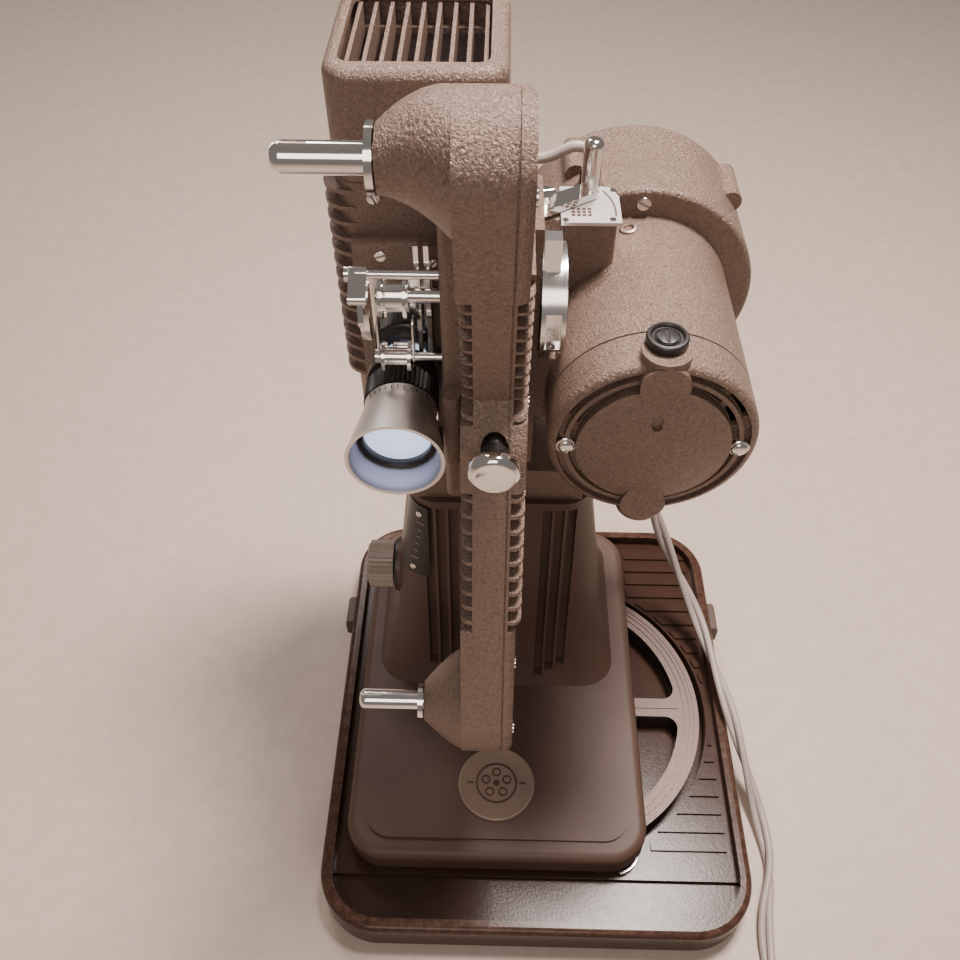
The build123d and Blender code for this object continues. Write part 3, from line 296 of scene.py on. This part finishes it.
# painted reflection: the lilac colour of the hood's inner wall stands in for light the satin metal reflects
PAINTED_REFLECTION_BORE = metal("bore_painted_lilac_reflection", (0.66, 0.64, 0.70), 0.42, 0.55, (1, 14, 1), 420.0)
DRUM = metal("polished_drum", (0.90, 0.88, 0.86), 0.16, 0.26, (14, 1, 1), 420.0, 0.10)
BADGE = moulded("badge_lacquer", (0.290, 0.205, 0.160), 0.30, 0.42, 600.0, 0.03)
AGED = moulded("aged_catch_paint", (0.085, 0.055, 0.042), 0.40, 0.56, 700.0, 0.10)
FLOOR = moulded("table_top", (0.62, 0.51, 0.43), 0.42, 0.58, 500.0, 0.05)

SLOT_OF = {row["node"]: row["material_slot"] for row in frame["record"]["subparts"]}


def dress(piece, material):
    """Give a piece one material."""
    piece.data.materials.clear()
    piece.data.materials.append(material)


for node_name, node_object in frame["nodes"].items():
    slots = node_object.material_slots
    for slot in slots:
        slot.material = MATERIALS[SLOT_OF[node_name]]
    if not slots:
        node_object.data.materials.append(MATERIALS[SLOT_OF[node_name]])
dress(frame["nodes"]["clutch_lever"], DRUM)
dress(frame["nodes"]["case_catches"], AGED)


# ---------------------------------------------------------------- mesh helpers
def new_piece(name, mesh, body, slot):
    """A piece that rides on a body and takes its finish from a record slot."""
    piece = bpy.data.objects.new(name, mesh)
    bpy.context.scene.collection.objects.link(piece)
    if mesh.materials:
        mesh.materials.clear()
    mesh.materials.append(MATERIALS[slot])
    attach(piece, body)
    return piece


def place(origin, axis, hint=(0, 0, 1)):
    """Matrix whose local z runs along axis and whose local x leans towards hint, in millimetres."""
    w = Vector(axis).normalized()
    u = Vector(hint) - w * w.dot(Vector(hint))
    if u.length < 0.01:
        u = w.orthogonal()
    u.normalize()
    v = w.cross(u)
    o = Vector(origin)
    return Matrix(((u.x, v.x, w.x, o.x), (u.y, v.y, w.y, o.y), (u.z, v.z, w.z, o.z), (0, 0, 0, 1)))


def turned(bm, at, profile, sides=72, closed=False):
    """Solid turned about local z from (radius, height) points; closed joins the last point to the first."""
    rings = []
    for radius, height in profile:
        if radius < 1e-6:
            rings.append([bm.verts.new(at @ Vector((0, 0, height)))])
            continue
        ring = []
        for k in range(sides):
            a = 2 * math.pi * k / sides
            ring.append(bm.verts.new(at @ Vector((radius * math.cos(a), radius * math.sin(a), height))))
        rings.append(ring)
    pairs = list(zip(rings, rings[1:]))
    if closed:
        pairs.append((rings[-1], rings[0]))
    for first, second in pairs:
        for k in range(sides):
            j = (k + 1) % sides
            if len(first) == 1:
                bm.faces.new((first[0], second[k], second[j]))
            elif len(second) == 1:
                bm.faces.new((first[k], second[0], first[j]))
            else:
                bm.faces.new((first[k], second[k], second[j], first[j]))


def prism(bm, at, outline, levels):
    """Flat outline raised through (height, scale) levels about its middle, so edges can be chamfered."""
    cx = sum(p[0] for p in outline) / len(outline)
    cy = sum(p[1] for p in outline) / len(outline)
    rings = []
    for height, scale in levels:
        ring = []
        for x, y in outline:
            ring.append(bm.verts.new(at @ Vector((cx + (x - cx) * scale, cy + (y - cy) * scale, height))))
        rings.append(ring)
    for first, second in zip(rings, rings[1:]):
        for k in range(len(outline)):
            j = (k + 1) % len(outline)
            bm.faces.new((first[k], first[j], second[j], second[k]))
    bm.faces.new(list(reversed(rings[0])))
    bm.faces.new(rings[-1])


def screw(bm, at, radius, height, slot=0.7, turn=0.6):
    """Round head with a driver's slot cut to half its height."""
    floor_z = height * 0.5
    turned(bm, at, [(0, 0), (radius, 0), (radius, floor_z), (0, floor_z)], 48)
    low = math.asin(slot / 2 / radius)
    for half in (0, math.pi):
        outline = []
        for k in range(25):
            a = low + (math.pi - 2 * low) * k / 24 + half + turn
            outline.append((radius * math.cos(a), radius * math.sin(a)))
        prism(bm, at, outline, [(floor_z, 1), (height * 0.85, 1), (height, 0.86)])


def arc_band(centre, inner, outer, start, sweep, steps):
    """Outline of a band between two radii, swept from start through sweep degrees."""
    points = []
    for radius, order in ((outer, range(steps + 1)), (inner, reversed(range(steps + 1)))):
        for k in order:
            a = math.radians(start + sweep * k / steps)
            points.append((centre[0] + radius * math.cos(a), centre[1] + radius * math.sin(a)))
    return points


def capsule(a, ra, b, rb):
    """Outline round two circles, for the film path's links."""
    dx, dy = b[0] - a[0], b[1] - a[1]
    angle = math.atan2(dy, dx)
    side = math.acos((ra - rb) / math.hypot(dx, dy))
    points = []
    for centre, radius, start, end in ((b, rb, -side, side), (a, ra, side, 2 * math.pi - side)):
        for k in range(13):
            t = angle + start + (end - start) * k / 12
            points.append((centre[0] + radius * math.cos(t), centre[1] + radius * math.sin(t)))
    return points


def built(name, bm, body, slot, sharp=38):
    """Turn a millimetre bmesh into a riding piece with smooth faces and crisp edges."""
    bmesh.ops.scale(bm, vec=(MM, MM, MM), verts=bm.verts)
    bmesh.ops.recalc_face_normals(bm, faces=bm.faces)
    mesh = bpy.data.meshes.new(name)
    bm.to_mesh(mesh)
    bm.free()
    for face in mesh.polygons:
        face.use_smooth = True
    mesh.set_sharp_from_angle(angle=math.radians(sharp))
    return new_piece(name, mesh, body, slot)


def on_surface(node_name, start, direction):
    """First point and normal where a ray in millimetres meets a CAD piece."""
    node = frame["nodes"][node_name]
    tree = BVHTree.FromObject(node, bpy.context.evaluated_depsgraph_get())
    hit, normal = tree.ray_cast(Vector(start) * MM, Vector(direction).normalized())[:2]
    return hit / MM, normal


# ---------------------------------------------------------------- screws, caps and knob
def cover_fixings():
    """Slotted screws on the arm cover and domed ones on the motor's front cap."""
    bm = bmesh.new()
    spots = ((-13.6, -40, 337, 0.4), (-11.8, -12, 245, 1.2), (-13.6, -54, 152, 0.9), (-13.6, -66, 124, 2.1))
    for x, y, z, turn in spots:
        at = place((x - 0.05, y, z), (1, 0, 0))
        turned(bm, at, [(0, 0), (3.2, 0), (3.2, 0.15), (2.9, 0.3), (0, 0.3)], 48)
        screw(bm, place((x + 0.2, y, z), (1, 0, 0)), 2.4, 0.6, 0.7, turn)
    for side in (-1, 1):
        at = place((MOTOR_X + side * 28, -19.6, MOTOR_Z - 1), (0, -1, 0))
        turned(bm, at, [(0, 0), (2.9, 0), (2.9, 2.6), (2.7, 3.2), (2.2, 3.7), (1.4, 4.0), (0, 4.1)], 48)
        turned(bm, at, [(3.4, 2.0), (3.4, 2.6), (3.1, 2.9), (2.8, 2.6), (2.8, 2.0)], 48, closed=True)
    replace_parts(built("cover_fixings", bm, ROOT, "chrome"), "cover_screws")


def brush_covers():
    """Stepped round caps over the motor's brushes, each with a slotted screw."""
    bm = bmesh.new()
    for way in (1, -1):
        at = place((MOTOR_X, -14, MOTOR_Z + 36 * way), (0, 0, way))
        turned(bm, at, [(0, 0), (6.3, 0), (6.5, 0.3), (6.5, 2.5), (6.1, 3.0), (5.3, 3.1), (4.9, 2.7), (4.7, 2.1),
                        (0, 2.1)])
        turned(bm, at, [(4.0, 2.0), (4.0, 2.45), (3.8, 2.6), (3.6, 2.45), (3.6, 2.0)], closed=True)
        screw(bm, at @ Matrix.Translation((0, 0, 1.9)), 3.3, 0.9, 0.9, 0.75)
    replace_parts(built("brush_covers", bm, ROOT, "black_plastic"), "brush_caps")


def front_knob():
    """Rounded chrome knob on a black grooved hub."""
    at = place((MAIN_X, -41, MAIN_Z), (0, -1, 0))
    bm = bmesh.new()
    turned(bm, at, [(0, -0.1), (6.8, -0.1), (7.6, 0.4), (7.9, 1.0), (7.9, 3.1), (7.75, 3.5), (7.2, 4.3),
                    (6.6, 4.75), (6.0, 4.9), (5.5, 4.8), (3.0, 4.55), (0, 4.5)], 96)
    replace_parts(built("front_knob", bm, "main_drive", "chrome", 50), "inching_knob")
    bm = bmesh.new()
    turned(bm, at, [(0, 0.1), (3.9, 0.1), (4.0, -0.2), (4.0, -3.0), (3.7, -3.2), (3.7, -3.7), (4.0, -3.9),
                    (4.0, -6.7), (0, -6.7)])
    built("front_knob_hub", bm, "main_drive", "black_plastic")


def case_details():
    """Screws on the lamphouse and gate, the lead's eyelet, and the clip at the base's corner."""
    bm = bmesh.new()
    spots = ((-63, 40, 286, 2.2, 0.5), (-61.5, 33, 268.5, 2.0, 1.9), (28.2, 56, 275, 2.5, 1.1),
             (-68, 33, 190, 1.8, 0.3), (-44, 33, 266, 1.6, 2.4))
    for x, y, z, radius, turn in spots:
        screw(bm, place((x, y + 0.1, z), (0, -1, 0)), radius, 1.3, 0.6, turn)
    built("case_screws", bm, ROOT, "chrome")
    bm = bmesh.new()
    at = place((23, 48.4, 269.3), (-0.17, 0, 1))
    turned(bm, at, [(3.0, 0), (3.0, 0.7), (2.6, 1.0), (2.0, 1.0), (1.7, 0.7), (1.7, 0)], 48, closed=True)
    built("lead_eyelet", bm, ROOT, "champagne")
    bm = bmesh.new()
    outline = arc_band((36, -72.5), 11.2, 12.2, -78, 66, 12)
    prism(bm, place((0, 0, 0), (0, 0, 1), (1, 0, 0)), outline, [(14.0, 1), (16.6, 1), (16.9, 0.995)])
    built("base_clip", bm, ROOT, "chrome")


# ---------------------------------------------------------------- badge and plates
def badge_details():
    """Round badge with a raised rim and a plain reel sign."""
    at = place(BADGE_AT, (0, 0, 1), (1, 0, 0))
    bm = bmesh.new()
    turned(bm, at, [(0, 0), (17.7, 0), (17.9, 0.2), (17.9, 0.9), (17.6, 1.3), (17.0, 1.4), (16.5, 1.25),
                    (16.2, 1.0), (0, 1.15)], 96)
    round_badge = built("round_badge", bm, ROOT, "champagne", 60)
    dress(round_badge, BADGE)
    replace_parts(round_badge, "badge")
    bm = bmesh.new()
    top = 1.0
    turned(bm, at, [(9.6, top), (9.6, top + 0.4), (8.8, top + 0.4), (8.8, top)], 72, closed=True)
    turned(bm, at, [(0, top), (1.5, top), (1.4, top + 0.4), (0, top + 0.4)], 32)
    for k in range(5):
        a = 2 * math.pi * k / 5 + math.pi / 2
        spot = at @ Matrix.Translation((5.2 * math.cos(a), 5.2 * math.sin(a), 0))
        turned(bm, spot, [(2.1, top), (2.1, top + 0.4), (1.5, top + 0.4), (1.5, top)], 32, closed=True)
    for x0, x1, y0, y1 in ((-13.6, -10.6, -0.35, 0.35), (10.6, 13.6, -0.35, 0.35)):
        prism(bm, at, [(x0, y0), (x1, y0), (x1, y1), (x0, y1)], [(top, 1), (top + 0.35, 1), (top + 0.45, 0.9)])
    built("badge_sign", bm, ROOT, "base_brown")


def plate_details():
    """Speed plate's screws and tick marks, and the switch plate's grid, arc and rivets."""
    away = Vector((-0.62, -0.78, 0.05))
    square = ((0, 0), (1.25, 0), (1.25, 1.25), (0, 1.25))
    bm = bmesh.new()
    for z in (107.5, 139.5):
        hit, normal = on_surface("speed_plate", Vector((-57, 22, z)) + away * 60, -away)
        screw(bm, place(hit, normal), 1.5, 0.9, 0.5, 0.7)
    for x, y in ((-0.4, 30.2), (16.0, 47.8), (14.8, 30.8)):
        turned(bm, place((x, y, 284.7), (0, 0, 1)), [(0, 0), (1.2, 0), (1.1, 0.2), (0.7, 0.3), (0, 0.32)], 32)
    screw(bm, place((PIVOT_X, PIVOT_Y, 290.9), (0, 0, 1)), 3.5, 1.2, 1.0, 2.6)
    built("plate_screws", bm, ROOT, "chrome")
    bm = bmesh.new()
    for k in range(6):
        hit, normal = on_surface("speed_plate", Vector((-57 + 0.25 * k, 22, 113 + 4.2 * k)) + away * 60, -away)
        half = 1.9 if k in (0, 5) else 1.0
        prism(bm, place(hit, normal, (0, 0, 1)), [(-0.22, -half), (0.22, -half), (0.22, half), (-0.22, half)],
              [(-0.05, 1), (0.14, 1), (0.2, 0.85)])
    built("speed_marks", bm, ROOT, "cream_plastic")
    bm = bmesh.new()
    at = place((0, 0, PLATE_TOP), (0, 0, 1), (1, 0, 0))
    for i in range(4):
        for j in range(3):
            x, y = 1.6 + 1.75 * i, 32.4 + 1.75 * j
            prism(bm, at, [(x + dx, y + dy) for dx, dy in square], [(0, 1), (0.12, 1), (0.18, 0.9)])
    prism(bm, at, arc_band((PIVOT_X, PIVOT_Y), 23.0, 23.6, -6, 38, 16), [(0, 1), (0.12, 1), (0.15, 1)])
    built("switch_marks", bm, ROOT, "base_brown")


# ---------------------------------------------------------------- lens, film path and clutch
def lens_details():
    """Retaining ring in front of the glass, a stepped lining in the hood's bore that carries a painted lilac
    reflection, and ticks on the band.
    """
    bm = bmesh.new()
    at = place((LENS_X, 0, LENS_Z), (0, -1, 0))
    band_y, band_r = 7.8, 13.0
    turned(bm, at, [(13.5, 4.2), (13.75, 6.0), (13.2, 6.5), (12.3, 6.6), (11.9, 6.2), (11.7, 5.0), (12.0, 3.6),
                    (12.6, 3.2)], 96, closed=True)
    built("lens_retainer", bm, "lens", "black_plastic")
    bm = bmesh.new()
    # stepped lining of the hood's bore, dressed in the painted lilac reflection
    turned(bm, at, [(14.0, 6.9), (14.5, 9.3), (14.4, 9.6), (15.1, 12.4), (15.0, 12.7), (15.8, 15.6),
                    (16.05, 15.6), (14.2, 6.9)], 96, closed=True)
    dress(built("hood_bore_painted_reflection", bm, "lens", "satin_aluminium"), PAINTED_REFLECTION_BORE)
    bm = bmesh.new()
    for k in range(11):
        a = math.radians(40 + 10 * k)
        out = Vector((math.cos(a), 0, math.sin(a)))
        spot = place(Vector((LENS_X, band_y, LENS_Z)) + out * band_r, out, (0, 1, 0))
        half = 1.2 if k % 5 == 0 else 0.7
        prism(bm, spot, [(-half, -0.16), (half, -0.16), (half, 0.16), (-half, 0.16)],
              [(-0.1, 1), (0.1, 1), (0.16, 0.9)])
    built("lens_ticks", bm, "lens", "black_plastic")


def film_links():
    """Side plates that join the sprocket's bracket to the guide roller's pin."""
    bm = bmesh.new()
    for x in (-62.3, -50.5):
        at = place((x, 0, 0), (1, 0, 0), (0, 1, 0))
        prism(bm, at, capsule((15.5, 253.5), 2.6, (13, 241), 2.2), [(0, 0.96), (0.1, 1), (0.6, 1), (0.7, 0.96)])
    built("film_links", bm, ROOT, "chrome")


def clutch_details():
    """Raised beads along both edges of the clutch drum, and the small screw at its foot."""
    bm = bmesh.new()
    for x in (-8.3, -1.5):
        at = place((x, CLUTCH_Y, CLUTCH_Z), (1, 0, 0))
        prism(bm, at, arc_band((0, 0), 17.3, 18.0, -50, 230, 40), [(0, 1), (0.9, 1)])
    screw(bm, place((-4.9, -4.2, 261.5), (0, -0.93, -0.37)), 1.5, 0.9, 0.5, 0.9)
    dress(built("clutch_beads", bm, "clutch", "chrome"), DRUM)


# ---------------------------------------------------------------- floor
def floor():
    """Pale table top, which isn't part of the object."""
    mesh = bpy.data.meshes.new("table")
    edge = 1.6
    mesh.from_pydata([(-edge, -edge, 0), (edge, -edge, 0), (edge, edge, 0), (-edge, edge, 0)], [], [(0, 1, 2, 3)])
    table = bpy.data.objects.new("table", mesh)
    bpy.context.scene.collection.objects.link(table)
    table.location.z = -0.0002
    mesh.materials.append(FLOOR)


floor()
for make in (cover_fixings, brush_covers, front_knob, case_details, badge_details, plate_details, lens_details,
             film_links, clutch_details):
    make()


# ---------------------------------------------------------------- mains cord
CORD_ROUTE = [(48, 82, 170), (48, 82, 134), (55, 77, 98), (70, 68, 60), (86, 50, 34), (93, 24, 27), (98, -6, 27),
              (104, -30, 17), (110, -50, 4), (112, -76, 3.7), (104, -100, 3.7), (103, -126, 3.7),
              (105, -150, 3.7), (105, -176, 3.7)]
COIL_CENTRE, COIL_TURN_R, COIL_PER_TURN = (60, -176), (45, 38, 31.5), 16
TAIL = [(52, -221, 3.7), (44, -221, 3.7), (38.2, -221, 3.7)]
CORD_D = 7.0


def coil_points():
    """Two layers of three turns each, wound inwards below and outwards above."""
    points = []
    turns = [(r, 3.7) for r in COIL_TURN_R] + [(r, 10.7) for r in reversed(COIL_TURN_R)]
    total = len(turns) * COIL_PER_TURN
    for k in range(1, total - 3):
        turn = k / COIL_PER_TURN
        index = min(int(turn), len(turns) - 1)
        after = min(index + 1, len(turns) - 1)
        part = turn - index
        ease = max(0.0, (part - 0.75) / 0.25)
        radius = turns[index][0] * (1 - ease) + turns[after][0] * ease
        height = turns[index][1] * (1 - ease) + turns[after][1] * ease
        angle = -2 * math.pi * turn
        points.append((COIL_CENTRE[0] + radius * math.cos(angle), COIL_CENTRE[1] + radius * math.sin(angle), height))
    return points


def route_curve(points):
    """Smooth NURBS line with the route's points, in millimetres, as its control points."""
    curve = bpy.data.curves.new("route", "CURVE")
    curve.dimensions = "3D"
    curve.resolution_u = 8
    spline = curve.splines.new("NURBS")
    spline.points.add(len(points) - 1)
    for point, corner in zip(spline.points, points):
        point.co = (corner[0] * MM, corner[1] * MM, corner[2] * MM, 1)
    spline.order_u = 3
    spline.use_endpoint_u = True
    return curve


def even_points(curve, spacing):
    """Evenly spaced points along the evaluated route."""
    holder = bpy.data.objects.new("route", curve)
    bpy.context.scene.collection.objects.link(holder)
    bpy.context.view_layer.update()
    mesh = bpy.data.meshes.new_from_object(holder)
    raw = [v.co.copy() for v in mesh.vertices]
    bpy.data.objects.remove(holder)
    points = [raw[0]]
    left = spacing
    for a, b in zip(raw, raw[1:]):
        run = (b - a).length
        done = 0.0
        while run - done >= left:
            done += left
            points.append(a.lerp(b, done / run))
            left = spacing
        left -= run - done
    points.append(raw[-1])
    return points


def frames_along(points):
    """Tangent and a side direction that turns as little as it can, at each point."""
    side = Vector((1, 0, 0))
    made = []
    for i in range(len(points)):
        tangent = (points[min(i + 1, len(points) - 1)] - points[max(i - 1, 0)]).normalized()
        side = (side - tangent * side.dot(tangent)).normalized()
        made.append((tangent, side, tangent.cross(side)))
    return made


def strand(bm, centres, directions, radius, sides=12):
    """Round strand swept along centres into a bmesh, with closed ends."""
    rings = []
    for centre, (tangent, side, up) in zip(centres, directions):
        ring = []
        for k in range(sides):
            a = 2 * math.pi * k / sides
            ring.append(bm.verts.new(centre + radius * (math.cos(a) * side + math.sin(a) * up)))
        rings.append(ring)
    for first, second in zip(rings, rings[1:]):
        for k in range(sides):
            j = (k + 1) % sides
            bm.faces.new((first[k], first[j], second[j], second[k]))
    bm.faces.new(list(reversed(rings[0])))
    bm.faces.new(rings[-1])


def mains_cord():
    """Two round conductors twisted round each other along one route."""
    route = CORD_ROUTE + coil_points() + TAIL
    curve = route_curve(route)
    points = even_points(curve, 2.2 * MM)
    directions = frames_along(points)
    twist_pitch = 0.105
    strand_r = CORD_D / 4 * MM
    bm = bmesh.new()
    for phase in (0, math.pi):
        centres = []
        length = 0.0
        for i, (point, (tangent, side, up)) in enumerate(zip(points, directions)):
            if i:
                length += (point - points[i - 1]).length
            a = 2 * math.pi * length / twist_pitch + phase
            centres.append(point + strand_r * (math.cos(a) * side + math.sin(a) * up))
        strand(bm, centres, directions, strand_r * 0.99)
    mesh = bpy.data.meshes.new("mains_cord")
    bm.to_mesh(mesh)
    bm.free()
    for face in mesh.polygons:
        face.use_smooth = True
    cord = new_piece("mains_cord", mesh, ROOT, "cord_grey")
    length = sum((b - a).length for a, b in zip(points, points[1:]))
    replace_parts(cord, "cord_run", "cord_coil")
    [tuple(p) for p in points]


mains_cord()
